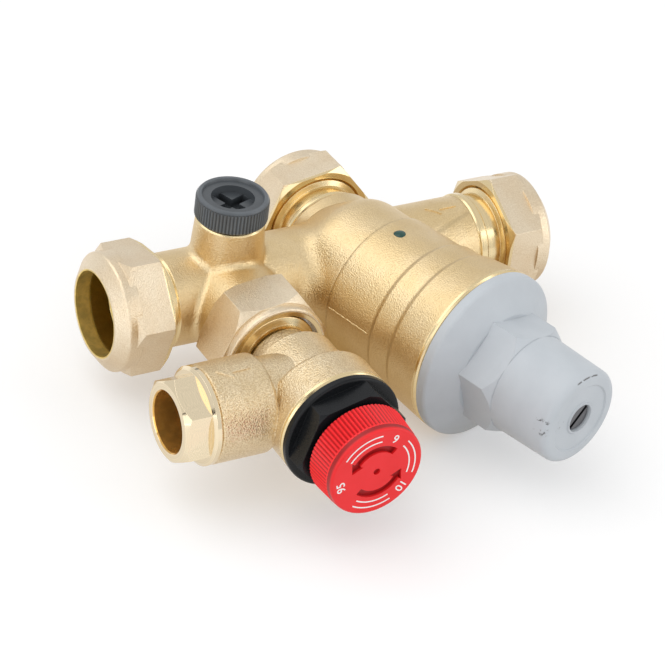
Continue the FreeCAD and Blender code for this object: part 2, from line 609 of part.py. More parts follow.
def relief_bonnet():
    """Black moulding: threaded skirt, round flange, chamfered hexagon and the stem guide."""
    flats = 26.0
    corner = flats / math.sqrt(3)
    flange_end = RELIEF_FRONT + 2.1
    base = turned([(0, BONNET_BACK), (BONNET_R, BONNET_BACK), (BONNET_R, RELIEF_FRONT + 0.05),
                   (15.67, RELIEF_FRONT + 0.05, 0.3), (15.67, flange_end, 0.7), (0, flange_end)], RELIEF)
    chamfer = turned([(0, flange_end - 1), (corner + 0.1, flange_end - 1), (corner + 0.1, BONNET_FRONT - 1.3),
                      (14.1, BONNET_FRONT), (0, BONNET_FRONT)], RELIEF)
    inside = turned([(0, BONNET_BACK - 1), (9.4, BONNET_BACK - 1), (9.4, 69), (RELIEF_STEM_R + 0.06, 69),
                     (RELIEF_STEM_R + 0.06, BONNET_FRONT + 1), (0, BONNET_FRONT + 1)], RELIEF)
    hex_body = hexagon(flats, flange_end - 1, BONNET_FRONT, 44.0, RELIEF).common(chamfer)
    return fused(base, hex_body).cut(inside)


def arrow(middle):
    """Curved arrow in the lathe's end plane, centred on an angle, pointing anticlockwise."""
    inner, outer, barb = 5.6, 7.45, 0.95
    tail, neck, tip = (math.radians(middle + a) for a in (-41, 61, 84))
    tip_r = (inner + outer) / 2 + 0.4

    def at(r, a):
        return V(r * math.cos(a), r * math.sin(a), 0)

    half = (tail + neck) / 2
    edges = [Part.Arc(at(outer, tail), at(outer, half), at(outer, neck)).toShape(),
             Part.makePolygon([at(outer, neck), at(outer + barb, neck), at(tip_r, tip), at(inner - barb, neck),
                               at(inner, neck)]),
             Part.Arc(at(inner, neck), at(inner, half), at(inner, tail)).toShape(),
             Part.LineSegment(at(inner, tail), at(outer, tail)).toShape()]
    return Part.Face(Part.Wire([e for shape in edges for e in shape.Edges]))


def relief_knob():
    """Cup-shaped knob: ribbed side, smooth front band, two sunk arrows and a small dimple."""
    rib_end = KNOB_FACE - 1.9
    tip_r = KNOB_R + 0.02
    outside = turned([(0, KNOB_BACK), (KNOB_R - 0.25, KNOB_BACK), (KNOB_R, KNOB_BACK + 0.3),
                      (KNOB_FRONT_R + 0.1, rib_end), (KNOB_FRONT_R - 0.1, KNOB_FACE, 0.7), (0, KNOB_FACE)],
                      RELIEF)
    teeth = ribbed(tip_r, 0.5, KNOB_RIBS, KNOB_BACK, rib_end, RELIEF, (KNOB_FRONT_R + 0.12) / tip_r)
    front = turned([(0, rib_end - 0.5), (KNOB_FRONT_R, rib_end - 0.5), (KNOB_FRONT_R, rib_end),
                    (KNOB_FRONT_R - 0.1, KNOB_FACE, 0.7), (0, KNOB_FACE)], RELIEF)
    inside = turned([(5.0, KNOB_BACK - 1), (11.3, KNOB_BACK - 1), (11.2, KNOB_FACE - 3.4),
                     (5.0, KNOB_FACE - 3.4)], RELIEF)
    stem_hole = disc(RELIEF_STEM_R + 0.02, KNOB_BACK - 1, 79.6, RELIEF)
    dimple = disc(0.9, KNOB_FACE - 0.8, KNOB_FACE + 1, RELIEF)
    sunk = []
    for middle in (0, 180):
        cutter = arrow(middle).extrude(V(0, 0, 3))
        cutter.Placement = RELIEF.multiply(FreeCAD.Placement(V(0, 0, KNOB_FACE - 1.0), FreeCAD.Rotation()))
        sunk.append(cutter)
    return fused(outside.common(teeth), front).cut([inside, stem_hole, dimple] + sunk)


def relief_stem():
    """Stem with the collar that the spring pushes on."""
    r = RELIEF_STEM_R
    return turned([(0, 48.1), (r, 48.1), (r, 58.7), (8.6, 58.7), (8.6, 60.2), (r, 60.2), (r, 79.5),
                   (0, 79.5)], RELIEF)


def relief_disc():
    """Cup that holds the seat washer on the end of the stem."""
    inner = RELIEF_STEM_R + 0.02
    return turned([(0, 48.05), (8.6, 48.05), (8.6, 46.9), (9.4, 46.9), (9.4, 50.6, 0.4), (5.2, 51.4),
                   (5.2, 54.6), (inner, 54.6), (inner, 48.08), (0, 48.08)], RELIEF)


def relief_seat_washer():
    return disc(8.55, RELIEF_SEAT + 0.05, 48.0, RELIEF)


def relief_diaphragm():
    """Rubber diaphragm that keeps water out of the spring."""
    inner = RELIEF_STEM_R + 0.02
    return turned([(inner, 57.1), (7.0, 57.1), (8.0, 56.2), (9.2, 56.2), (10.2, 57.05), (12.4, 57.05),
                   (12.4, 58.15), (9.4, 58.15), (8.6, 57.3), (7.6, 58.15), (inner, 58.15)], RELIEF)


def relief_spring():
    return coil(6.6, 1.0, 60.25, 68.95, 3.5, RELIEF)


PIECES = {
    "main_body": main_body,
    "outlet_nut": lambda: compression_nut(OUTLET_NUT_START, 41, OUTLET),
    "outlet_olive": lambda: olive(OUTLET_NUT_START, OUTLET),
    "inlet_nut": lambda: compression_nut(INLET_NUT_START, -2, INLET),
    "inlet_olive": lambda: olive(INLET_NUT_START, INLET),
    "take_off_nut": lambda: compression_nut(TAKE_OFF_NUT_START, 20, TAKE_OFF),
    "take_off_olive": lambda: olive(TAKE_OFF_NUT_START, TAKE_OFF),
    "gauge_plug": gauge_plug,
    "gauge_plug_seal": gauge_plug_seal,
    "check_valve_cage": check_valve_cage,
    "check_valve_poppet": check_valve_poppet,
    "check_valve_spring": check_valve_spring,
    "check_valve_seal": check_valve_seal,
    "check_valve_ring": check_valve_ring,
    "cartridge_body": cartridge_body,
    "strainer": strainer,
    "valve_stem": valve_stem,
    "seat_disc": seat_disc,
    "diaphragm": diaphragm,
    "diaphragm_plate": diaphragm_plate,
    "regulating_spring": regulating_spring,
    "spring_seat": spring_seat,
    "adjusting_screw": adjusting_screw,
    "spring_cap": spring_cap,
    "nose_seal": nose_seal,
    "chamber_seal": chamber_seal,
    "union_nut": union_nut,
    "union_gasket": union_gasket,
    "union_clip": union_clip,
    "relief_body": relief_body,
    "discharge_nut": discharge_nut,
    "discharge_olive": discharge_olive,
    "relief_bonnet": relief_bonnet,
    "relief_knob": relief_knob,
    "relief_stem": relief_stem,
    "relief_disc": relief_disc,
    "relief_seat_washer": relief_seat_washer,
    "relief_diaphragm": relief_diaphragm,
    "relief_spring": relief_spring,
}

os.makedirs("parts", exist_ok=True)
for name, build in PIECES.items():
    shape = build()
    print(f"{name}: volume {shape.Volume:.1f} solids {len(shape.Solids)} valid {shape.isValid()}")
    shape.exportStep(f"parts/{name}.step")
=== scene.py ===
import bpy
import bmesh
import json
import math
from mathutils import Matrix, Vector

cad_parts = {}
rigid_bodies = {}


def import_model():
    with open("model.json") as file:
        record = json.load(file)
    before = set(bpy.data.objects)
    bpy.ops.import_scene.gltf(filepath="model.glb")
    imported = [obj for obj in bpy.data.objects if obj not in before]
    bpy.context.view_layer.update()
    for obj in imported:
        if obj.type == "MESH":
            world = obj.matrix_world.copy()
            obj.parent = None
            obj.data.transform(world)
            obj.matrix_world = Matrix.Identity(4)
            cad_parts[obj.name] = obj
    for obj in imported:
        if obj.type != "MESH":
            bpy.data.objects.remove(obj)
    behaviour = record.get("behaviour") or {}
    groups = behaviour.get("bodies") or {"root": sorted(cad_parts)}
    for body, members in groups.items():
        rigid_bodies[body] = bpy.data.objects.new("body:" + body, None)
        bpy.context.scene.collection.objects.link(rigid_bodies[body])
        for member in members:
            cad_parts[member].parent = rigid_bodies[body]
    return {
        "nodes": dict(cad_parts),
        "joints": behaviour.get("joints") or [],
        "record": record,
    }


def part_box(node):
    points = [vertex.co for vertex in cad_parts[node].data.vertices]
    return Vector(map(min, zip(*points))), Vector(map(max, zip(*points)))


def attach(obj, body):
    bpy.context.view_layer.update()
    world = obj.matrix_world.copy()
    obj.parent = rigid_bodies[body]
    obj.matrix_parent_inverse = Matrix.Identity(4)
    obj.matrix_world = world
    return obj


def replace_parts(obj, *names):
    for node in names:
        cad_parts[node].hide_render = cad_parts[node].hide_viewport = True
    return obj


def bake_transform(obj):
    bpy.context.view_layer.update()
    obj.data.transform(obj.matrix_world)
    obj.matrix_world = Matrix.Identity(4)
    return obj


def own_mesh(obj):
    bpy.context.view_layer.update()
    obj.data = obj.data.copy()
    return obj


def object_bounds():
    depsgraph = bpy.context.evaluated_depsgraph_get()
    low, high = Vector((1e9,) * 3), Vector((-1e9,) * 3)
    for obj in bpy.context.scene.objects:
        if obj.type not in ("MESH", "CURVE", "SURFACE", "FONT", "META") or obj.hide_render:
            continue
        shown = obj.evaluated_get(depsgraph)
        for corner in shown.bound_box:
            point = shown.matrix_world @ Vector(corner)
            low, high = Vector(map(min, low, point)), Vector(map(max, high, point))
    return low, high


for stray in list(bpy.data.objects):
    bpy.data.objects.remove(stray)
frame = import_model()
cad_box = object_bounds()
NODES = frame["nodes"]
MM = 0.001
UP = Vector((0, 0, 1))


# Axes that the finishes and pieces are placed on, read from the frame; stations along them are in millimetres

SCREW_PIVOT_AT = 76      # station of the adjusting screw's pivot on the reducer's axis
joints = {j["name"]: j for j in frame["joints"]}
screw = joints["adjusting_screw_turn"]
REDUCER_DIR = -Vector(screw["axis"]).normalized()
REDUCER_AT = Vector(screw["pos_m"]) - REDUCER_DIR * SCREW_PIVOT_AT * MM
knob_low, knob_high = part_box("relief_knob")
STATION_X = (knob_low.x + knob_high.x) / 2
KNOB_FACE_Y = knob_low.y
discharge_low, discharge_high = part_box("discharge_nut")
DISCHARGE_Y = (discharge_low.y + discharge_high.y) / 2
plug_low, plug_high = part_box("gauge_plug")
GAUGE_X = (plug_low.x + plug_high.x) / 2

ORIGIN = Vector((0, 0, 0))
OUTLET = (ORIGIN, Vector((-1, 0, 0)))
INLET = (ORIGIN, Vector((1, 0, 0)))
TAKE_OFF = (ORIGIN, Vector((0, 1, 0)))
REDUCER = (REDUCER_AT, REDUCER_DIR)
RELIEF = (Vector((STATION_X, 0, 0)), Vector((0, -1, 0)))
DISCHARGE = (Vector((STATION_X, DISCHARGE_Y, 0)), Vector((-1, 0, 0)))
GAUGE = (Vector((GAUGE_X, 0, 0)), UP)


# Shader helpers


class Shader:
    """One material's node tree, with short calls for the nodes that the finishes use."""

    def __init__(self, name):
        self.material = bpy.data.materials.new(name)
        self.material.use_nodes = True
        self.tree = self.material.node_tree
        self.tree.nodes.clear()
        output = self.add("ShaderNodeOutputMaterial")
        self.surface = self.add("ShaderNodeBsdfPrincipled")
        self.tree.links.new(self.surface.outputs[0], output.inputs[0])
        self.place = self.add("ShaderNodeTexCoord").outputs["Object"]

    def add(self, kind, **settings):
        node = self.tree.nodes.new(kind)
        for key, value in settings.items():
            setattr(node, key, value)
        return node

    def put(self, socket, value):
        if isinstance(value, bpy.types.NodeSocket):
            self.tree.links.new(value, socket)
        else:
            socket.default_value = value

    def set(self, **inputs):
        for key, value in inputs.items():
            self.put(self.surface.inputs[key.replace("_", " ")], value)

    def math(self, operation, a, b=0.0):
        node = self.add("ShaderNodeMath", operation=operation)
        self.put(node.inputs[0], a)
        self.put(node.inputs[1], b)
        return node.outputs[0]

    def vector(self, operation, a, b=None, scale=None):
        node = self.add("ShaderNodeVectorMath", operation=operation)
        self.put(node.inputs[0], a)
        if b is not None:
            self.put(node.inputs[1], b)
        if scale is not None:
            self.put(node.inputs["Scale"], scale)
        return node.outputs["Value" if operation in ("DOT_PRODUCT", "LENGTH") else "Vector"]

    def combine(self, x, y, z):
        node = self.add("ShaderNodeCombineXYZ")
        for socket, value in zip(node.inputs, (x, y, z)):
            self.put(socket, value)
        return node.outputs[0]

    def noise(self, size_mm, detail=2.0, roughness=0.5, vector=None):
        node = self.add("ShaderNodeTexNoise", noise_dimensions="3D")
        self.put(node.inputs["Vector"], self.place if vector is None else vector)
        node.inputs["Scale"].default_value = 1 / (size_mm * MM)
        node.inputs["Detail"].default_value = detail
        node.inputs["Roughness"].default_value = roughness
        return node.outputs["Fac"]

    def between(self, value, low, high, to_low=0.0, to_high=1.0):
        """Smooth step from one value to another as the input goes from low to high."""
        node = self.add("ShaderNodeMapRange", interpolation_type="SMOOTHSTEP")
        self.put(node.inputs["Value"], value)
        limits = {"From Min": low, "From Max": high, "To Min": to_low, "To Max": to_high}
        for key, number in limits.items():
            node.inputs[key].default_value = number
        return node.outputs["Result"]

    def mix(self, factor, a, b, blend_type="MIX"):
        node = self.add("ShaderNodeMix", data_type="RGBA", blend_type=blend_type)
        self.put(node.inputs["Factor"], factor)
        self.put(node.inputs[6], a if isinstance(a, bpy.types.NodeSocket) else (*a, 1))
        self.put(node.inputs[7], b if isinstance(b, bpy.types.NodeSocket) else (*b, 1))
        return node.outputs[2]

    def shade(self, colour, tone):
        """Colour made lighter or darker by a tone about 1."""
        return self.mix(1.0, colour, self.combine(tone, tone, tone), "MULTIPLY")

    def blend(self, factor, a, b):
        node = self.add("ShaderNodeMix", data_type="FLOAT")
        self.put(node.inputs["Factor"], factor)
        self.put(node.inputs[2], a)
        self.put(node.inputs[3], b)
        return node.outputs[0]

    def station(self, axis):
        """Distance along an axis from its origin, in millimetres."""
        local = self.vector("SUBTRACT", self.place, tuple(axis[0]))
        return self.math("MULTIPLY", self.vector("DOT_PRODUCT", local, tuple(axis[1])), 1 / MM)

    def radius(self, axis):
        """Distance from an axis, in millimetres."""
        local = self.vector("SUBTRACT", self.place, tuple(axis[0]))
        reach = self.vector("DOT_PRODUCT", local, tuple(axis[1]))
        foot = self.vector("SCALE", tuple(axis[1]), scale=reach)
        away = self.vector("LENGTH", self.vector("SUBTRACT", local, foot))
        return self.math("MULTIPLY", away, 1 / MM)

    def angle(self, axis):
        """Angle about an axis from up, in degrees."""
        local = self.vector("SUBTRACT", self.place, tuple(axis[0]))
        side = self.vector("DOT_PRODUCT", local, tuple(axis[1].cross(UP)))
        rise = self.vector("DOT_PRODUCT", local, tuple(UP))
        return self.math("MULTIPLY", self.math("ARCTAN2", side, rise), 180 / math.pi)

    def beyond(self, value, at, soft=0.12):
        return self.between(value, at - soft, at + soft)

    def short_of(self, value, at, soft=0.12):
        return self.between(value, at - soft, at + soft, 1.0, 0.0)

    def within(self, value, low, high, soft):
        return self.both(self.beyond(value, low, soft), self.short_of(value, high, soft))

    def both(self, *masks):
        result = masks[0]
        for mask in masks[1:]:
            result = self.math("MULTIPLY", result, mask)
        return result

    def either(self, *masks):
        result = masks[0]
        for mask in masks[1:]:
            result = self.math("MAXIMUM", result, mask)
        return result

    def relief(self, height_mm, edge_mm):
        """Shading normal: softened edges, then a bump whose height is in millimetres."""
        edge = self.add("ShaderNodeBevel", samples=6)
        edge.inputs["Radius"].default_value = edge_mm * MM
        bump = self.add("ShaderNodeBump")
        bump.inputs["Strength"].default_value = 1.0
        bump.inputs["Distance"].default_value = MM
        self.put(bump.inputs["Height"], height_mm)
        self.put(bump.inputs["Normal"], edge.outputs[0])
        self.put(self.surface.inputs["Normal"], bump.outputs[0])


# Kinds of finish; sizes and depths are in millimetres

NOISE_SPAN = (0.3, 0.7)  # where most values of a noise lie
CLOUD_SPAN = (0.34, 0.66)
PIT_SPAN = (0.28, 0.70)
LINE_SPAN = (0.35, 0.65)
MOULD_SPAN = (0.25, 0.75)
CLOUD_MM = 9             # slow changes of tone in brass
TONE_MM = 7              # and in plastic
PIT_SHARES = (0.62, 0.50, 0.32)
BRASS_ROUGHER = (-0.02, 0.08)
MOULD_ROUGHER = (-0.05, 0.07)
STEEL_ROUGHER = (-0.06, 0.08)
TURNED = (0.86, 0.69, 0.40)
TURNED_HOLLOW = 0.9      # tone in the hollows of the turning marks
TURNING_PER_MM = 5.2
TURNING_DEPTH = 0.004
MOTTLE_MM = 2.6
MOTTLE_TONES = (0.82, 1.14)
STAIN_METAL = 0.7
STREAK_MM = 0.6
STREAK_HOLLOW = 0.8
STREAK_DEPTH = 0.004
STEEL_EDGE = 0.1


def brass(name, pale, deep, rough=0.30, grain_mm=0.38, grain_depth=0.11, edge_mm=0.25, pitted=0.24,
          machined=None, turned=TURNED, turned_rough=(0.14, 0.24), stained=None, crease_and_painted_shade=None):
    """Blasted brass with a fine grain; pitted is how far its pits go to a deeper gold.

    machined(shader) gives the mask of the turned faces and the axis that they are turned about,
    stained(shader) gives the mask and colour of dull bores, and creased(shader) gives how deep the
    hollow of a crease is and how much its colour is darkened there as painted shade.
    """
    sh = Shader(name)
    cloud = sh.noise(CLOUD_MM, 3)
    grain = sh.noise(grain_mm, 1)
    colour = sh.mix(sh.between(cloud, *CLOUD_SPAN), deep, pale)
    pit = tuple(c * share for c, share in zip(deep, PIT_SHARES))
    colour = sh.mix(sh.between(grain, *PIT_SPAN, pitted, 0.0), colour, pit)
    roughness = sh.between(grain, *NOISE_SPAN, *(rough + step for step in BRASS_ROUGHER))
    height = sh.math("MULTIPLY", grain, grain_depth)
    metal = 1.0
    if crease_and_painted_shade is not None:
        dip, tone = crease_and_painted_shade(sh)
        # painted shade: the colour is darkened along the creases
        colour = sh.shade(colour, tone)
        height = sh.math("SUBTRACT", height, dip)
    if machined is not None:
        mask, axis = machined(sh)
        rings = sh.combine(sh.station(axis), sh.radius(axis), 0.0)
        lines = sh.noise(1.0, 2, 0.7, sh.vector("SCALE", rings, scale=TURNING_PER_MM * MM))
        hollow = tuple(c * TURNED_HOLLOW for c in turned)
        colour = sh.mix(mask, colour, sh.mix(sh.between(lines, *LINE_SPAN), hollow, turned))
        roughness = sh.blend(mask, roughness, sh.between(lines, *NOISE_SPAN, *turned_rough))
        height = sh.blend(mask, height, sh.math("MULTIPLY", lines, TURNING_DEPTH))
    if stained is not None:
        mask, tint = stained(sh)
        mottle = sh.between(sh.noise(MOTTLE_MM, 3, 0.6), *NOISE_SPAN, *MOTTLE_TONES)
        colour = sh.mix(mask, colour, sh.shade(tint, mottle))
        height = sh.blend(mask, height, 0.0)
        metal = sh.between(mask, 0.0, 1.0, 1.0, STAIN_METAL)
    sh.set(Base_Color=colour, Roughness=roughness, Metallic=metal)
    sh.relief(height, edge_mm)
    return sh.material


def plastic(name, colour, deep, rough, grain_mm=0.35, grain_depth=0.004, edge_mm=0.2, specular=0.5,
            wear=None, shading=None):
    """Moulded plastic: slow change of tone, fine mould texture, softened edges.

    wear(shader) gives the mask and colour of scuffs, and shading(shader) the painted shade and painted
    highlight of ribs and hollows.
    """
    sh = Shader(name)
    fine = sh.noise(grain_mm, 3, 0.6)
    tone = sh.mix(sh.between(sh.noise(TONE_MM, 3), *NOISE_SPAN), deep, colour)
    if shading is not None:
        tone = sh.shade(tone, shading(sh))
    if wear is not None:
        mask, mark = wear(sh)
        tone = sh.mix(mask, tone, mark)
    roughness = sh.between(fine, *MOULD_SPAN, *(rough + step for step in MOULD_ROUGHER))
    sh.set(Base_Color=tone, Roughness=roughness, Specular_IOR_Level=specular)
    sh.relief(sh.math("MULTIPLY", fine, grain_depth), edge_mm)
    return sh.material


def steel(name, colour, rough):
    """Drawn or turned steel with faint streaks."""
    sh = Shader(name)
    streak = sh.noise(STREAK_MM, 3, 0.6)
    hollow = tuple(c * STREAK_HOLLOW for c in colour)
    roughness = sh.between(streak, *NOISE_SPAN, *(rough + step for step in STEEL_ROUGHER))
    sh.set(Base_Color=sh.mix(streak, hollow, colour), Metallic=1.0, Roughness=roughness)
    sh.relief(sh.math("MULTIPLY", streak, STREAK_DEPTH), STEEL_EDGE)
    return sh.material


# Turned faces, creases and bores of the brass; _AT is a station and _R a radius

BARREL_RIM_AT = 47.2
INLET_TURNED_AT = 32.2
INLET_TURNED_R = 14.2
OUTLET_TURNED_AT = 56.8
TAKE_OFF_TURNED_AT = 13.3
RELIEF_BOSS_AT = 16.3
RELIEF_BOSS_SIDE = -25   # the boss lies on the outlet's side of this station of the inlet's axis
GAUGE_SEAT_AT = 21.3
GAUGE_SEAT_R = 9.5
CREASES_AT = (13.0, 29.4, 37.0)
CREASE_REACH = 1.0
CREASE_DIP = 0.10
# tone of the painted shade along the creases
CREASE_PAINTED_SHADE = 0.86
BARREL_SKIN_R = 18.6
RELIEF_RIM_AT = 61.9
RELIEF_TAIL_AT = 33.2
DISCHARGE_THREAD_AT = 20.9
DISCHARGE_THREAD_R = 11.0
UNION_SEAT_R = 12.9
SOCKETS = ((OUTLET, 40), (INLET, 25), (TAKE_OFF, 12))
SOCKET_BORE_R = 11.2
PIPE_HOLE_R = 11.5
DISCHARGE_BORE_R = 7.95
NUT_BACK_MM = 0.9        # depth of a nut's turned back face
BORE_STAIN = (0.82, 0.61, 0.18)
DISCHARGE_STAIN = (0.72, 0.40, 0.09)


def body_machining(sh):
    """Turned ends of the three branches, the relief thread, the gauge seat and the rim of the barrel."""
    across = sh.station(INLET)
    rim = sh.beyond(sh.station(REDUCER), BARREL_RIM_AT)
    inlet = sh.both(sh.beyond(across, INLET_TURNED_AT), sh.short_of(sh.radius(INLET), INLET_TURNED_R))
    outlet = sh.short_of(across, -OUTLET_TURNED_AT)
    take_off = sh.beyond(sh.station(TAKE_OFF), TAKE_OFF_TURNED_AT)
    relief = sh.both(sh.beyond(sh.station(RELIEF), RELIEF_BOSS_AT), sh.short_of(across, RELIEF_BOSS_SIDE))
    seat = sh.both(sh.beyond(sh.station(GAUGE), GAUGE_SEAT_AT), sh.short_of(sh.radius(GAUGE), GAUGE_SEAT_R))
    return sh.either(rim, inlet, outlet, take_off, relief, seat), INLET


def barrel_creases_and_painted_shade(sh):
    """Soft hollows where the barrel's rings meet, darkened in colour as painted shade; the first alone is
    also rounded by a bump.
    """
    station = sh.station(REDUCER)
    outside = sh.beyond(sh.radius(REDUCER), BARREL_SKIN_R, 0.4)
    marks = []
    for at in CREASES_AT:
        away = sh.math("ABSOLUTE", sh.math("SUBTRACT", station, at))
        marks.append(sh.both(sh.between(away, 0.0, CREASE_REACH, 1.0, 0.0), outside))
    dip = sh.math("MULTIPLY", marks[0], CREASE_DIP)
    return dip, sh.between(sh.either(*marks), 0.0, 1.0, 1.0, CREASE_PAINTED_SHADE)


def body_bores(sh):
    """Dull insides of the three pipe sockets."""
    masks = []
    for axis, start in SOCKETS:
        masks.append(sh.both(sh.short_of(sh.radius(axis), SOCKET_BORE_R), sh.beyond(sh.station(axis), start)))
    return sh.either(*masks), BORE_STAIN


def relief_machining(sh):
    """Turned rim, tail and discharge thread of the relief valve's body."""
    station = sh.station(RELIEF)
    rim = sh.beyond(station, RELIEF_RIM_AT)
    tail = sh.short_of(station, RELIEF_TAIL_AT)
    thread = sh.both(sh.beyond(sh.station(DISCHARGE), DISCHARGE_THREAD_AT),
                     sh.short_of(sh.radius(DISCHARGE), DISCHARGE_THREAD_R))
    return sh.either(rim, tail, thread), RELIEF


def union_machining(sh):
    """Turned seat and hole inside the union nut."""
    return sh.short_of(sh.radius(RELIEF), UNION_SEAT_R), RELIEF


def polished_machining(sh):
    """All of the discharge nut."""
    return sh.beyond(sh.station(DISCHARGE), 0.0), DISCHARGE


def discharge_bore(sh):
    """Stained pipe hole of the discharge nut."""
    return sh.short_of(sh.radius(DISCHARGE), DISCHARGE_BORE_R), DISCHARGE_STAIN


# Wear of the plastic pieces, and painted shade and painted highlight on their ribs and hollows; pairs are the
# stations, radii or degrees between which they lie

SCUFF_COLOUR = (0.11, 0.11, 0.11)
SCUFF_RADII = (12.0, 12.3)
SCUFF_AT = 82.2
TOP_SCUFF = (-18, 17)
SIDE_SCUFF = (74, 92)
SIDE_SCUFF_STATIONS = (79.6, 83.0)
# where the plug's painted shade and painted highlight lie
PLUG_RIB_RADII = (9.16, 9.40)
PLUG_SIDE_R = 9.05
PLUG_SHOULDER_AT = 27.7
PLUG_SLOT = (24.0, 26.4)
PLUG_RIM = (27.8, 28.3)
# where the knob's painted shade and painted highlight lie
KNOB_BACK_AT = 72.2
KNOB_BACK_R = 13.22
KNOB_TAPER = 0.55 / 7.6
KNOB_RIB_SHARES = (0.966, 0.994)
KNOB_SIDE_R = 11.9
KNOB_SHOULDER_AT = 79.8
KNOB_ARROWS = (80.6, 81.5)


def cap_wear(sh):
    """Dark scuffs where the cap's end edge has rubbed, at its top and on its left."""
    station = sh.station(REDUCER)
    radius = sh.radius(REDUCER)
    angle = sh.angle(REDUCER)
    edge = sh.both(sh.within(radius, *SCUFF_RADII, 0.12), sh.beyond(station, SCUFF_AT, 0.3))
    broken = sh.between(sh.noise(1.1, 3, 0.6), 0.34, 0.46)
    top = sh.both(edge, sh.within(angle, *TOP_SCUFF, 2), broken)
    side = sh.both(sh.within(station, *SIDE_SCUFF_STATIONS, 0.5), sh.within(angle, *SIDE_SCUFF, 3))
    specks = sh.both(side, sh.between(sh.noise(1.7, 3, 0.7), 0.55, 0.62))
    return sh.either(top, specks), SCUFF_COLOUR


def plug_painted_shade_and_highlight(sh):
    """Painted shade in the grooves round the plug and on the floor of its recess, and painted highlight on
    its ridges and top rim.
    """
    station = sh.station(GAUGE)
    radius = sh.radius(GAUGE)
    # grooves painted darker as shade and ridges lighter as highlight; the recess floor is painted darker and
    # the top rim lighter
    ribs = sh.between(radius, *PLUG_RIB_RADII, 0.5, 1.5)
    slot = sh.between(station, *PLUG_SLOT, 0.45, 0.85)
    recess = sh.math("MULTIPLY", slot, sh.between(station, *PLUG_RIM, 1.0, 1.5))
    side = sh.both(sh.beyond(radius, PLUG_SIDE_R, 0.05), sh.short_of(station, PLUG_SHOULDER_AT, 0.1))
    return sh.blend(side, recess, ribs)


def knob_painted_shade_and_highlight(sh):
    """Painted shade in the grooves between the knob's ribs and on the floor of its sunk arrows, and painted
    highlight on its ridges.
    """
    station = sh.station(RELIEF)
    radius = sh.radius(RELIEF)
    fall = sh.math("MULTIPLY", sh.math("SUBTRACT", station, KNOB_BACK_AT), KNOB_TAPER)
    share = sh.math("DIVIDE", radius, sh.math("SUBTRACT", KNOB_BACK_R, fall))
    # grooves painted darker as shade and ridges lighter as highlight; the sunk arrows' floor is painted
    # darker as shade, more so deeper in
    ribs = sh.between(share, *KNOB_RIB_SHARES, 0.6, 1.1)
    side = sh.both(sh.beyond(radius, KNOB_SIDE_R, 0.1), sh.short_of(station, KNOB_SHOULDER_AT, 0.05))
    arrows = sh.between(station, *KNOB_ARROWS, 0.40, 1.0)
    return sh.blend(side, arrows, ribs)


# The finish of every solid

BODY_PALE = (0.83, 0.66, 0.40)
BODY_DEEP = (0.79, 0.61, 0.34)
NUT_PALE = (0.87, 0.75, 0.57)
NUT_DEEP = (0.83, 0.69, 0.50)
NUT_GRAIN = {"grain_mm": 0.32, "grain_depth": 0.12, "edge_mm": 0.2, "pitted": 0.26}
RELIEF_PALE = (0.86, 0.72, 0.50)
RELIEF_DEEP = (0.80, 0.65, 0.42)
POLISHED = (0.91, 0.77, 0.54)

FINISHES = {
    "body": brass("body_brass", BODY_PALE, BODY_DEEP, rough=0.33, grain_depth=0.15,
                  machined=body_machining, stained=body_bores, crease_and_painted_shade=barrel_creases_and_painted_shade),
    "relief_brass": brass("relief_brass", RELIEF_PALE, RELIEF_DEEP, grain_depth=0.21, pitted=0.56,
                          machined=relief_machining),
    "polished": brass("polished_brass", NUT_PALE, NUT_DEEP, edge_mm=0.12, machined=polished_machining,
                      turned=POLISHED, turned_rough=(0.05, 0.11), stained=discharge_bore),
    # the olive's brass is darkened as painted shade, so that it reads as the shade inside its nut
    "olive_brass": brass("olive_brass", (0.42, 0.31, 0.09), (0.34, 0.25, 0.06), grain_depth=0.004,
                         edge_mm=0.1),
    "cap_plastic": plastic("cap_plastic", (0.53, 0.565, 0.60), (0.505, 0.54, 0.575), rough=0.42,
                           grain_mm=0.34, grain_depth=0.020, edge_mm=0.3, specular=0.4, wear=cap_wear),
    "plug_plastic": plastic("plug_plastic", (0.084, 0.095, 0.106), (0.070, 0.079, 0.088), rough=0.32,
                            grain_depth=0.022, edge_mm=0.04, shading=plug_painted_shade_and_highlight),
    "bonnet_plastic": plastic("bonnet_plastic", (0.009, 0.010, 0.012), (0.007, 0.008, 0.009), rough=0.30,
                              grain_depth=0.008, edge_mm=0.15, specular=0.22),
    "knob_plastic": plastic("knob_plastic", (0.87, 0.020, 0.025), (0.83, 0.016, 0.019), rough=0.40,
                            grain_mm=0.40, grain_depth=0.005, edge_mm=0.04, specular=0.35, shading=knob_painted_shade_and_highlight),
    "inner_plastic": plastic("inner_plastic", (0.80, 0.80, 0.77), (0.74, 0.74, 0.71), rough=0.45),
    "rubber": plastic("rubber", (0.030, 0.030, 0.033), (0.022, 0.022, 0.025), rough=0.55),
    "spring_steel": steel("spring_steel", (0.60, 0.60, 0.62), rough=0.28),
    "stainless": steel("stainless", (0.66, 0.66, 0.67), rough=0.26),
    "screw_steel": steel("screw_steel", (0.16, 0.16, 0.17), rough=0.36),
}
NUT_AXES = {"outlet_nut": OUTLET, "inlet_nut": INLET, "take_off_nut": TAKE_OFF}


def nut_finish(node):
    """Blasted nut with a turned back face and a stained pipe hole."""
    axis = NUT_AXES[node]
    low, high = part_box(node)
    start = min(axis[1].dot(low), axis[1].dot(high)) / MM

    def turned_faces(sh):
        return sh.short_of(sh.station(axis), start + NUT_BACK_MM, 0.3), axis

    def pipe_hole(sh):
        return sh.short_of(sh.radius(axis), PIPE_HOLE_R), BORE_STAIN

    return brass(node + "_brass", NUT_PALE, NUT_DEEP, machined=turned_faces, stained=pipe_hole, **NUT_GRAIN)


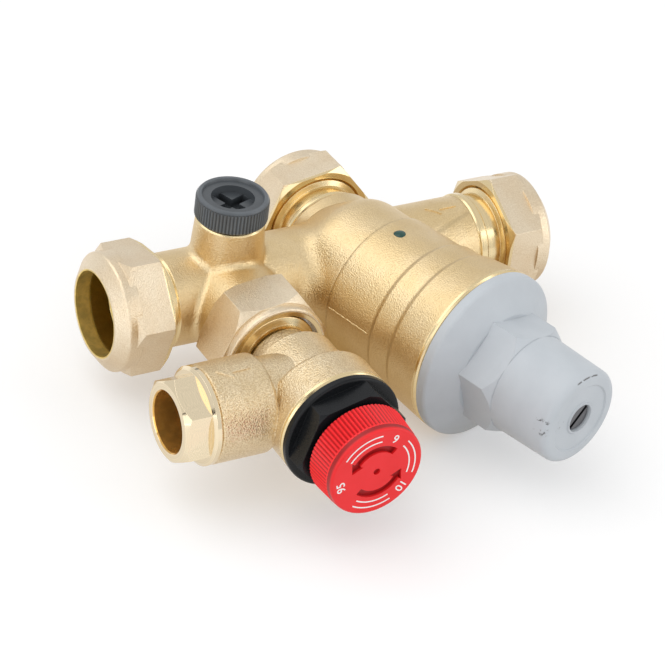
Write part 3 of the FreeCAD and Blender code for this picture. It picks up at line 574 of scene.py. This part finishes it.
slots = {s["node"]: s["material_slot"] for s in frame["record"]["subparts"]}
for node, obj in NODES.items():
    if node in NUT_AXES:
        finish = nut_finish(node)
    elif node == "union_nut":
        finish = brass("union_nut_brass", NUT_PALE, NUT_DEEP, machined=union_machining, **NUT_GRAIN)
    else:
        finish = FINISHES[slots[node]]
    obj.data.materials.clear()
    obj.data.materials.append(finish)


# Helpers for the pieces that are added

SHARP = math.radians(40)


def closed_mesh(name, bm, sharp=None):
    """Mesh of a closed shape, with its normals outward; edges past the angle sharp stay sharp."""
    bmesh.ops.recalc_face_normals(bm, faces=bm.faces)
    mesh = bpy.data.meshes.new(name)
    bm.to_mesh(mesh)
    bm.free()
    if sharp is not None:
        mesh.set_sharp_from_angle(angle=sharp)
    return mesh


def swept(name, rows):
    """Closed strip through rows of points; each row is one cross section, and both ends are capped."""
    bm = bmesh.new()
    grid = [[bm.verts.new(p) for p in row] for row in rows]
    for a, b in zip(grid, grid[1:]):
        for i in range(len(a)):
            k = (i + 1) % len(a)
            bm.faces.new((a[i], a[k], b[k], b[i]))
    bm.faces.new(list(reversed(grid[0])))
    bm.faces.new(grid[-1])
    return closed_mesh(name, bm, SHARP)


def add_piece(name, mesh, body, material):
    """Object for a mesh, riding on a body; one that is given no body is left unattached."""
    piece = bpy.data.objects.new(name, mesh)
    bpy.context.scene.collection.objects.link(piece)
    mesh.materials.append(material)
    for face in mesh.polygons:
        face.use_smooth = True
    if body is not None:
        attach(piece, body)
    return piece


def along(axis, station_mm):
    """Point on an axis."""
    return axis[0] + axis[1] * station_mm * MM


def on_lathe(axis, station_mm, angle_deg, radius_mm):
    """Point on a cylinder round an axis; the angle runs from up, right-handed about the axis."""
    a = math.radians(angle_deg)
    out = UP * math.cos(a) + axis[1].cross(UP) * math.sin(a)
    return along(axis, station_mm) + out * radius_mm * MM


# Printed marks on the knob

KNOB_CENTRE = Vector((STATION_X, KNOB_FACE_Y, 0))
MARK_SINK = 0.04 * MM
MARK_RISE = 0.07 * MM
MARK_ROUND = 0.6         # share of its height and half width at which a mark's edge is rounded
ARC_WIDTH = 0.36
ARC_STEP = 1.5           # degrees
ARC_RADII = {"inner": 8.85, "outer": 10.5}
ARC_SPANS = {"upper": (-1, 60), "right": (-105, -46), "lower": (-211, -152)}
DIGIT_MM = 2.25
DIGIT_SHARE = 0.7        # height of a digit as a share of its font's size
DIGIT_FATTER = 0.02 * MM
DIGIT_RING = 9.7

white = plastic("marking_white", (0.90, 0.90, 0.89), (0.86, 0.86, 0.85), rough=0.5, grain_mm=0.2,
                grain_depth=0.002, edge_mm=0.03)


def on_knob(radius_mm, angle_deg, height):
    """Point over the knob's face; the angle runs anticlockwise from the top, as seen from the front."""
    a = math.radians(angle_deg)
    return KNOB_CENTRE + Vector((-math.sin(a) * radius_mm * MM, -height, math.cos(a) * radius_mm * MM))


def knob_arc(name, radius, start, end):
    """Printed arc on the knob's face."""
    rows = []
    steps = int(abs(end - start) / ARC_STEP)
    half = ARC_WIDTH / 2
    low = MARK_RISE * MARK_ROUND
    section = ((-half, -MARK_SINK), (-half, low), (-half * MARK_ROUND, MARK_RISE),
               (half * MARK_ROUND, MARK_RISE), (half, low), (half, -MARK_SINK))
    for i in range(steps + 1):
        angle = start + (end - start) * i / steps
        rows.append([on_knob(radius + out, angle, lift) for out, lift in section])
    add_piece(name, swept(name, rows), "relief_knob", white)


def knob_number(name, text, angle_deg, tops_outward):
    """Raised plain number on the knob's face."""
    curve = bpy.data.curves.new(name + "_outline", "FONT")
    curve.body = text
    curve.size = DIGIT_MM * MM / DIGIT_SHARE
    curve.align_x = "CENTER"
    curve.align_y = "CENTER"
    curve.extrude = (MARK_RISE + MARK_SINK) / 2
    curve.offset = DIGIT_FATTER
    curve.resolution_u = 6
    holder = bpy.data.objects.new(name + "_outline", curve)
    bpy.context.scene.collection.objects.link(holder)
    bpy.context.view_layer.update()
    shown = holder.evaluated_get(bpy.context.evaluated_depsgraph_get())
    mesh = bpy.data.meshes.new_from_object(shown)
    bpy.data.objects.remove(holder)
    bpy.data.curves.remove(curve)
    mesh.name = name
    a = math.radians(angle_deg)
    outward = Vector((-math.sin(a), 0, math.cos(a)))
    up = outward if tops_outward else -outward
    normal = Vector((0, -1, 0))
    turn = Matrix((up.cross(normal), up, normal)).transposed().to_4x4()
    centre = on_knob(DIGIT_RING, angle_deg, (MARK_RISE - MARK_SINK) / 2)
    mesh.transform(Matrix.Translation(centre) @ turn)
    mesh.materials.clear()
    add_piece(name, mesh, "relief_knob", white)


for place, (first, last) in ARC_SPANS.items():
    for ring, radius in ARC_RADII.items():
        knob_arc(f"knob_arc_{place}_{ring}", radius, first, last)
knob_number("knob_number_6", "6", -24, False)
knob_number("knob_number_10", "10", -129, True)
knob_number("knob_number_95", "95", 104, True)


# Forged marks and the paint dot on the brass; sizes are in millimetres

ARROW_HEAD = 3.0         # half widths of the flow arrow's head and shaft
ARROW_SHAFT = 1.3
ARROW_NOTCH = 0.15       # from the shaft's side to the first section of the head
ARROW_BLUNT = 0.2        # less the notch, how far short of its half width the head's last section is
ARROW_RISE = 0.26
ARROW_SINK = 0.2
ARROW_WALL = 0.34
SEAM_STEP = 0.4
SEAM_FOOT = 0.34         # half widths of the seam's foot and crest
SEAM_CREST = 0.12
SEAM_SINK = 0.1
DOT_RINGS = 6
DOT_AROUND = 28
DOT_SINK = 0.06


def flow_arrow(name, axis, radius, centre, tip, barb, tail, slot):
    """Raised arrow lying round a boss; tip, barb and tail are stations, and centre is its angle."""
    ahead = math.copysign(ARROW_WALL, tip - tail)
    notch = ARROW_SHAFT + ARROW_NOTCH
    half = [i * ARROW_SHAFT / 4 for i in range(5)] + [notch]
    half += [notch + (ARROW_HEAD - ARROW_BLUNT - ARROW_SHAFT) * i / 5 for i in range(1, 6)]
    rows = []
    for across in [-t for t in reversed(half[1:])] + half:
        back = tail if abs(across) <= ARROW_SHAFT else barb
        front = tip + (barb - tip) * abs(across) / ARROW_HEAD
        turn = centre + math.degrees(across / radius)
        section = ((back - ahead, -ARROW_SINK), (back, ARROW_RISE), (front, ARROW_RISE),
                   (front + ahead, -ARROW_SINK))
        rows.append([on_lathe(axis, s, turn, radius + lift) for s, lift in section])
    add_piece(name, swept(name, rows), "body", FINISHES[slot])


def parting_seam(name, axis, angle, start, end, start_r, end_r, slot):
    """Trimmed flash line where the two halves of the forging die met; it wanders and its height varies."""
    steps = int((end - start) / SEAM_STEP)
    arc = math.pi * start_r / 180
    rows = []
    for i in range(steps + 1):
        f = i / steps
        station = start + (end - start) * f
        radius = start_r + (end_r - start_r) * f
        wander = 0.06 * math.sin(station * 2.3) + 0.04 * math.sin(station * 5.1)
        rise = 0.13 + 0.04 * math.sin(station * 3.7)
        section = ((-SEAM_FOOT, -SEAM_SINK), (-SEAM_CREST, rise), (SEAM_CREST, rise), (SEAM_FOOT, -SEAM_SINK))
        rows.append([on_lathe(axis, station, angle + (across + wander) / arc, radius + lift)
                     for across, lift in section])
    add_piece(name, swept(name, rows), "body", FINISHES[slot])


def paint_dot(name, station, angle, radius, size_mm, rise_mm):
    """Domed round drop of green lacquer on the barrel, a little out of round."""
    bm = bmesh.new()
    arc = math.pi * radius / 180
    top = bm.verts.new(on_lathe(REDUCER, station, angle, radius + rise_mm))
    last = None
    for i in range(1, DOT_RINGS + 1):
        f = i / DOT_RINGS
        lift = rise_mm * math.cos(f * math.pi / 2) - (DOT_SINK if i == DOT_RINGS else 0)
        ring = []
        for k in range(DOT_AROUND):
            a = 2 * math.pi * k / DOT_AROUND
            reach = size_mm / 2 * f * (1 + 0.05 * math.sin(3 * a + 0.6))
            turn = angle + math.sin(a) * reach / arc
            point = on_lathe(REDUCER, station + math.cos(a) * reach, turn, radius + lift)
            ring.append(bm.verts.new(point))
        for k in range(DOT_AROUND):
            n = (k + 1) % DOT_AROUND
            if last is None:
                bm.faces.new((top, ring[k], ring[n]))
            else:
                bm.faces.new((last[k], ring[k], ring[n], last[n]))
        last = ring
    bm.faces.new(list(reversed(last)))
    lacquer = plastic("green_lacquer", (0.008, 0.062, 0.048), (0.005, 0.040, 0.032), rough=0.15,
                      grain_mm=0.5, grain_depth=0.002, edge_mm=0.05)
    add_piece(name, closed_mesh(name, bm), "body", lacquer)


flow_arrow("inlet_flow_arrow", INLET, radius=12.25, centre=-0.5, tip=20.6, barb=24.0, tail=29.3, slot="body")
flow_arrow("discharge_flow_arrow", DISCHARGE, radius=12.45, centre=-2.5, tip=27.1, barb=23.4, tail=18.4,
           slot="relief_brass")
for side, angle in (("left", 86), ("right", -86)):
    parting_seam(f"barrel_seam_{side}", REDUCER, angle, start=13.8, end=28.0, start_r=20.0, end_r=20.19,
                 slot="body")
for side, angle in (("front", -90), ("back", 90)):
    parting_seam(f"discharge_seam_{side}", DISCHARGE, angle, start=15.8, end=29.0, start_r=12.49, end_r=12.40,
                 slot="relief_brass")
paint_dot("green_paint_dot", station=18.55, angle=5.7, radius=20.07, size_mm=3.3, rise_mm=0.28)


# Springs drawn as coils, each in the place of a solid one

WIRE_SIDES = 12
COIL_STEPS = 48          # sections in one turn
SPLIT = 0.38             # share of the regulating spring below its still point


def node_ends(node, axis):
    """Stations of a node's two ends on an axis."""
    stations = [(v.co - axis[0]).dot(axis[1]) / MM for v in NODES[node].data.vertices]
    return min(stations), max(stations)


def coil(name, node, axis, mean_r, wire_r, turns, body, first=0.0, last=1.0):
    """Round-wire spring between a node's two ends; first and last bound the share of it that is drawn."""
    low, high = node_ends(node, axis)
    low += wire_r
    high -= wire_r
    side = axis[1].cross(UP)
    ring = [2 * math.pi * k / WIRE_SIDES for k in range(WIRE_SIDES)]
    steps = round(COIL_STEPS * turns * (last - first))
    rows = []
    for i in range(steps + 1):
        f = first + (last - first) * i / steps
        a = 2 * math.pi * turns * f
        out = UP * math.cos(a) + side * math.sin(a)
        centre = along(axis, low + (high - low) * f) + out * mean_r * MM
        rows.append([centre + (out * math.cos(t) + axis[1] * math.sin(t)) * wire_r * MM for t in ring])
    piece = add_piece(name, swept(name, rows), body, FINISHES["spring_steel"])
    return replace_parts(piece, node)


def squashed_coil(name, node, axis, mean_r, wire_r, turns):
    """Spring whose far end stands on the body, given a mesh of its own."""
    piece = coil(name, node, axis, mean_r, wire_r, turns, "body")
    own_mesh(piece)


squashed_coil("relief_coil", "relief_spring", RELIEF, mean_r=6.6, wire_r=0.75, turns=3.0)
squashed_coil("check_valve_coil", "check_valve_spring", OUTLET, mean_r=4.3, wire_r=0.35, turns=4.0)

regulating = {"node": "regulating_spring", "axis": REDUCER, "mean_r": 9.2, "wire_r": 1.1, "turns": 5.5,
              "body": None}
lower_coil = coil("regulating_coil_lower", **regulating, last=SPLIT)
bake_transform(lower_coil)
upper_coil = coil("regulating_coil_upper", **regulating, first=SPLIT)
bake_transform(upper_coil)


# Diaphragm in two pieces: a hub with its skirt, and a still fold and rim

MEMBRANE_AROUND = 96
STEM_HOLE_R = 2.22
MEMBRANE_LOW = 36.65     # stations of the hub's two faces
MEMBRANE_TOP = 37.85
SKIRT_FOOT = 36.51       # station of the foot of the hub's skirt
SKIRT_R = 11.7
FOLD_R = SKIRT_R + 0.02
RIM_R = 18.9
RIM_TOP = 38.95
HUB_PROFILE = ((STEM_HOLE_R, MEMBRANE_LOW), (11.0, MEMBRANE_LOW), (11.2, SKIRT_FOOT), (SKIRT_R, 36.16),
               (SKIRT_R, 37.55), (11.4, MEMBRANE_TOP), (STEM_HOLE_R, MEMBRANE_TOP))
RIM_PROFILE = ((FOLD_R, 36.15), (13.0, 35.25), (14.6, MEMBRANE_LOW), (14.8, MEMBRANE_TOP),
               (RIM_R, MEMBRANE_TOP), (RIM_R, RIM_TOP), (13.9, RIM_TOP), (13.2, MEMBRANE_LOW),
               (12.7, MEMBRANE_LOW), (FOLD_R, 37.55))


def membrane(name, profile, body):
    """Closed ring of rubber on the reducer's axis, from a profile of radius and station points."""
    bm = bmesh.new()
    grid = []
    for k in range(MEMBRANE_AROUND):
        a = 360 * k / MEMBRANE_AROUND
        grid.append([bm.verts.new(on_lathe(REDUCER, station, a, radius)) for radius, station in profile])
    for k in range(MEMBRANE_AROUND):
        a, b = grid[k - 1], grid[k]
        for i in range(len(profile)):
            bm.faces.new((a[i - 1], a[i], b[i], b[i - 1]))
    piece = add_piece(name, closed_mesh(name, bm, SHARP), body, FINISHES["rubber"])
    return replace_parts(piece, "diaphragm")


hub = membrane("diaphragm_hub", HUB_PROFILE, None)
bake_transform(hub)
membrane("diaphragm_rim", RIM_PROFILE, "body")


# Stage: floor, world, lamps, cards and camera

FLOOR_RADIUS = 12.0
FLOOR_COLOUR = 0.70
FLOOR_LIFT = 0.31
WORLD_FILL = 0.95        # strength of the world for rays that only light the part
AIM = Vector((0, -0.02, 0))
CARD_NEAR = 0.02         # metres from the middle where the card starts to lighten, and where it is white
CARD_FAR = 0.11
CARD_HEIGHT = 0.2 * MM
# painted shade, tinted warm as painted bounce light from the brass: the card's colour at its middle
CARD_SHADE = (0.42, 0.29, 0.13)
# colour of the dark cards, a painted dark reflection that only the metal shows
DARK_REFLECTION_COLOUR = (0.04, 0.035, 0.03)
DARK_CARD_AWAY = 1.2


def flat_disc(name, radius, height):
    """Level round sheet for the stage."""
    bm = bmesh.new()
    bmesh.ops.create_circle(bm, cap_ends=True, segments=96, radius=radius)
    mesh = bpy.data.meshes.new(name)
    bm.to_mesh(mesh)
    bm.free()
    obj = bpy.data.objects.new(name, mesh)
    obj.location = (0, 0, height)
    bpy.context.scene.collection.objects.link(obj)
    return obj


def bare_material(name):
    """Material with an empty tree, that tree, and its output's surface socket."""
    material = bpy.data.materials.new(name)
    material.use_nodes = True
    tree = material.node_tree
    tree.nodes.clear()
    return material, tree, tree.nodes.new("ShaderNodeOutputMaterial").inputs[0]


def seen_mask(tree):
    """1 for rays that show the background: camera, glossy and transmission rays."""
    path = tree.nodes.new("ShaderNodeLightPath")
    total = path.outputs["Is Camera Ray"]
    for key in ("Is Glossy Ray", "Is Transmission Ray"):
        node = tree.nodes.new("ShaderNodeMath")
        node.operation = "MAXIMUM"
        tree.links.new(total, node.inputs[0])
        tree.links.new(path.outputs[key], node.inputs[1])
        total = node.outputs[0]
    return total


def mirrored_only(obj):
    """Keep a card out of all but reflections, so that it puts only painted reflection and painted shade into
    the metal.
    """
    obj.visible_camera = False
    obj.visible_diffuse = False
    obj.visible_shadow = False
    obj.visible_transmission = False


def area_light(name, place, size, watts):
    """Soft lamp aimed at the middle of the part."""
    lamp = bpy.data.lights.new(name, "AREA")
    lamp.shape = "RECTANGLE"
    lamp.size, lamp.size_y = size
    lamp.energy = watts
    obj = bpy.data.objects.new(name, lamp)
    obj.location = place
    obj.rotation_euler = (AIM - Vector(place)).to_track_quat("-Z", "Y").to_euler()
    obj.visible_camera = False
    bpy.context.scene.collection.objects.link(obj)


def dark_card(name, azimuth, elevation, radius):
    """Round dark card away from the part, seen only in reflections: a painted dark reflection, which polished
    edges mirror as thin dark lines.
    """
    obj = flat_disc(name, radius, 0)
    a = math.radians(azimuth)
    e = math.radians(elevation)
    toward = Vector((math.cos(a) * math.cos(e), math.sin(a) * math.cos(e), math.sin(e)))
    obj.location = toward * DARK_CARD_AWAY
    obj.rotation_euler = toward.to_track_quat("Z", "Y").to_euler()
    mirrored_only(obj)
    material, tree, surface = bare_material(name)
    painted_dark_reflection = tree.nodes.new("ShaderNodeEmission")
    painted_dark_reflection.inputs["Color"].default_value = (*DARK_REFLECTION_COLOUR, 1)
    tree.links.new(painted_dark_reflection.outputs[0], surface)
    obj.data.materials.append(material)


# Pale floor, which seen rays find a little lighter so that it is white away from the shadow
floor_z = cad_box[0].z
floor = flat_disc("floor", FLOOR_RADIUS, floor_z)
paint, tree, surface = bare_material("pale_floor")
matte = tree.nodes.new("ShaderNodeBsdfDiffuse")
matte.inputs["Color"].default_value = (FLOOR_COLOUR, FLOOR_COLOUR, FLOOR_COLOUR, 1)
glow = tree.nodes.new("ShaderNodeEmission")
gain = tree.nodes.new("ShaderNodeMath")
gain.operation = "MULTIPLY"
tree.links.new(seen_mask(tree), gain.inputs[0])
gain.inputs[1].default_value = FLOOR_LIFT
tree.links.new(gain.outputs[0], glow.inputs["Strength"])
total = tree.nodes.new("ShaderNodeAddShader")
tree.links.new(matte.outputs[0], total.inputs[0])
tree.links.new(glow.outputs[0], total.inputs[1])
tree.links.new(total.outputs[0], surface)
floor.data.materials.append(paint)

# Pale world
world = bpy.data.worlds.new("studio")
bpy.context.scene.world = world
world.use_nodes = True
tree = world.node_tree
tree.nodes.clear()
result = tree.nodes.new("ShaderNodeOutputWorld")
background = tree.nodes.new("ShaderNodeBackground")
level = tree.nodes.new("ShaderNodeMapRange")
tree.links.new(seen_mask(tree), level.inputs["Value"])
level.inputs["To Min"].default_value = WORLD_FILL
level.inputs["To Max"].default_value = 1.0
tree.links.new(level.outputs[0], background.inputs["Strength"])
tree.links.new(background.outputs[0], result.inputs[0])

area_light("key_overhead", (-0.40, 0.22, 0.72), (1.0, 0.85), 2.5)
area_light("fill_right", (0.70, -0.55, 0.35), (0.5, 0.6), 1.3)
area_light("fill_left", (-0.65, -0.28, 0.16), (0.4, 0.4), 0.7)
area_light("fill_front", (-0.05, -0.95, 0.40), (0.8, 0.5), 0.9)

# Card on the floor, seen only in reflections: painted shade, dark gold in the middle, which the part's
# underside mirrors in place of its shadowed floor and the warm light its brass throws back
card = flat_disc("reflection_card", CARD_FAR, floor_z + CARD_HEIGHT)
mirrored_only(card)
painted_shade_card, tree, surface = bare_material("reflection_card")
place = tree.nodes.new("ShaderNodeTexCoord")
away = tree.nodes.new("ShaderNodeVectorMath")
away.operation = "LENGTH"
tree.links.new(place.outputs["Object"], away.inputs[0])
ramp = tree.nodes.new("ShaderNodeMapRange")
tree.links.new(away.outputs["Value"], ramp.inputs["Value"])
ramp.inputs["From Min"].default_value = CARD_NEAR
ramp.inputs["From Max"].default_value = CARD_FAR
shade = tree.nodes.new("ShaderNodeMix")
shade.data_type = "RGBA"
tree.links.new(ramp.outputs[0], shade.inputs["Factor"])
shade.inputs[6].default_value = (*CARD_SHADE, 1)
shade.inputs[7].default_value = (1, 1, 1, 1)
glow = tree.nodes.new("ShaderNodeEmission")
tree.links.new(shade.outputs[2], glow.inputs["Color"])
tree.links.new(glow.outputs[0], surface)
card.data.materials.append(painted_shade_card)

# dark cards seen only in reflections, which paint dark reflections into the brass
dark_card("card_camera_side", azimuth=-124, elevation=33, radius=0.17)
dark_card("card_left", azimuth=-168, elevation=5, radius=0.20)
dark_card("card_right", azimuth=20, elevation=12, radius=0.15)

# Camera fitted to the photograph
CAMERA_AT = Vector((-0.34971, -0.51472, 0.39928))
CAMERA_RIGHT = Vector((0.866601, -0.483735, 0.122488))
CAMERA_DOWN = Vector((-0.187745, -0.543505, -0.818141))
CAMERA_AHEAD = Vector((0.462336, 0.686005, -0.561821))
SENSOR_MM = 36.0
FOCAL_PIXELS = 2800
PHOTO_PIXELS = 665
camera_data = bpy.data.cameras.new("camera")
camera_data.sensor_width = SENSOR_MM
camera_data.lens = FOCAL_PIXELS * SENSOR_MM / PHOTO_PIXELS
camera_data.dof.use_dof = False
camera = bpy.data.objects.new("camera", camera_data)
turn = Matrix((CAMERA_RIGHT, -CAMERA_DOWN, -CAMERA_AHEAD)).transposed().to_4x4()
camera.matrix_world = Matrix.Translation(CAMERA_AT) @ turn
bpy.context.scene.collection.objects.link(camera)
bpy.context.scene.camera = camera
bpy.context.scene.view_settings.view_transform = "Standard"
